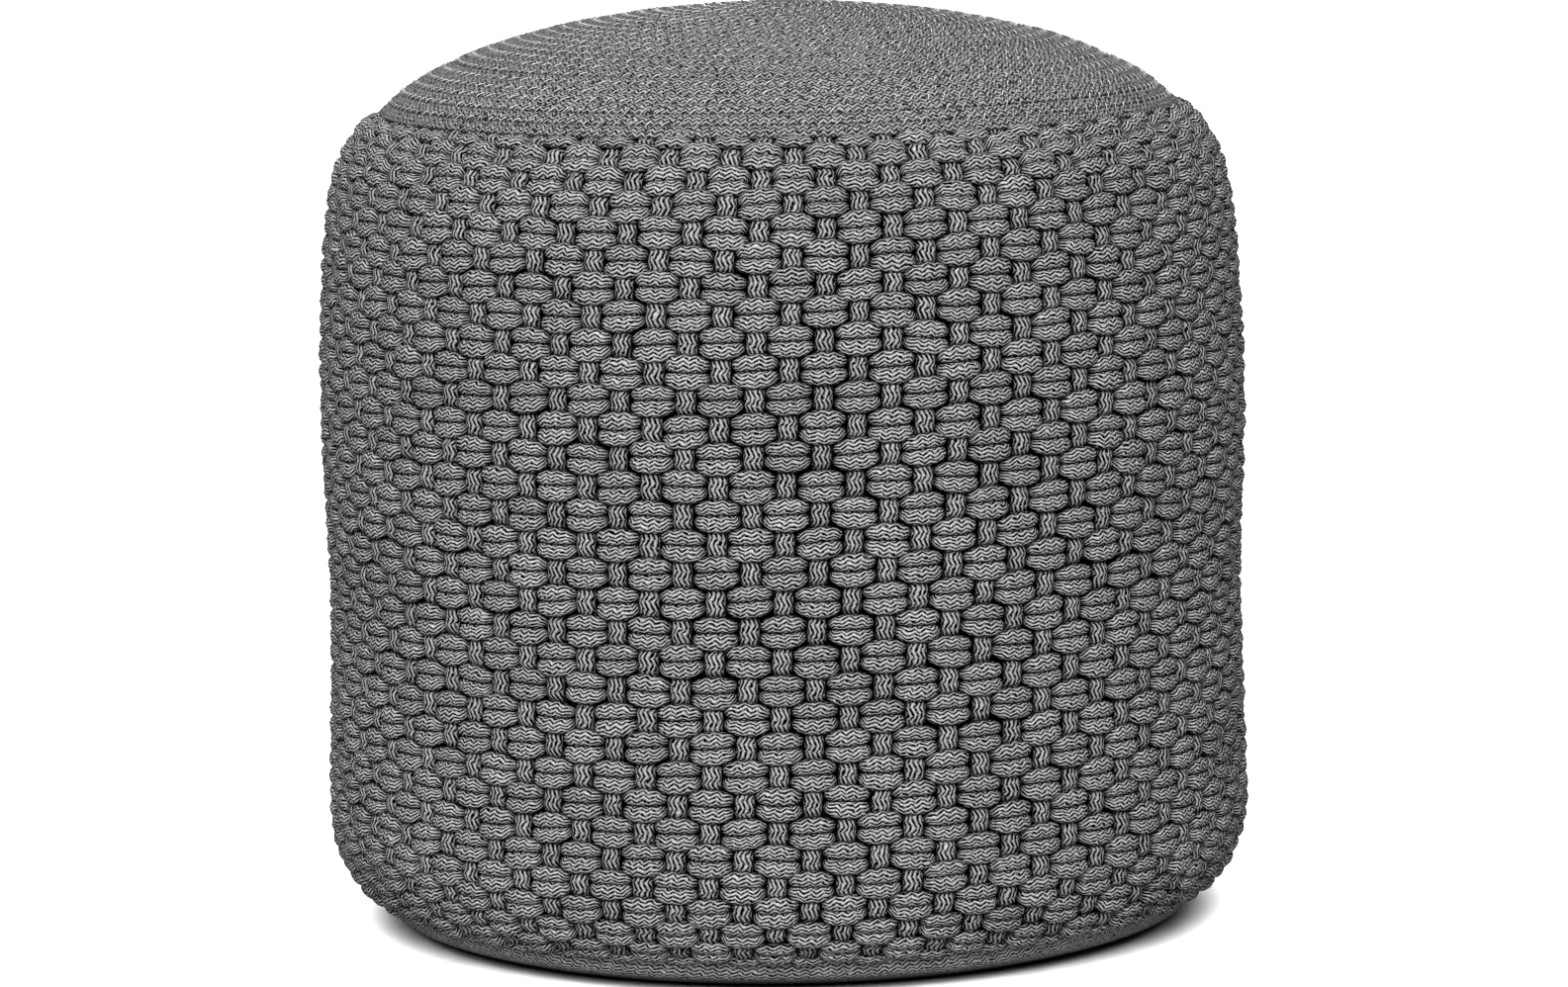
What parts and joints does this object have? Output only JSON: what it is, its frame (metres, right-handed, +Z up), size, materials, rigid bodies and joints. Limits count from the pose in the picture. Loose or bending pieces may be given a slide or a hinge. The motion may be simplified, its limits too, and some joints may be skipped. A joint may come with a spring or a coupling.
{
  "type": "round woven cord pouf",
  "caption": "Round drum pouf of braided cord with a plain-weave side, a crowned sewn top and a flat fabric base; rests on the floor as a seat or footrest.",
  "frame": {"origin": "centre of the flat base, on the floor", "axes": "+Z up; the front of the picture is toward -Y"},
  "size_m": [0.5005, 0.5004, 0.4975],
  "materials": {
    "cord_weave": "matte grey braided cord, plain weave",
    "cord_top": "matte grey braided cord, coiled flat and sewn with zigzag thread",
    "base_fabric": "matte grey fine braid fabric"
  },
  "bodies": {
    "root": {"woven_side": "cord_weave", "top_panel": "cord_top", "base_panel": "base_fabric"}
  },
  "joints": []
}
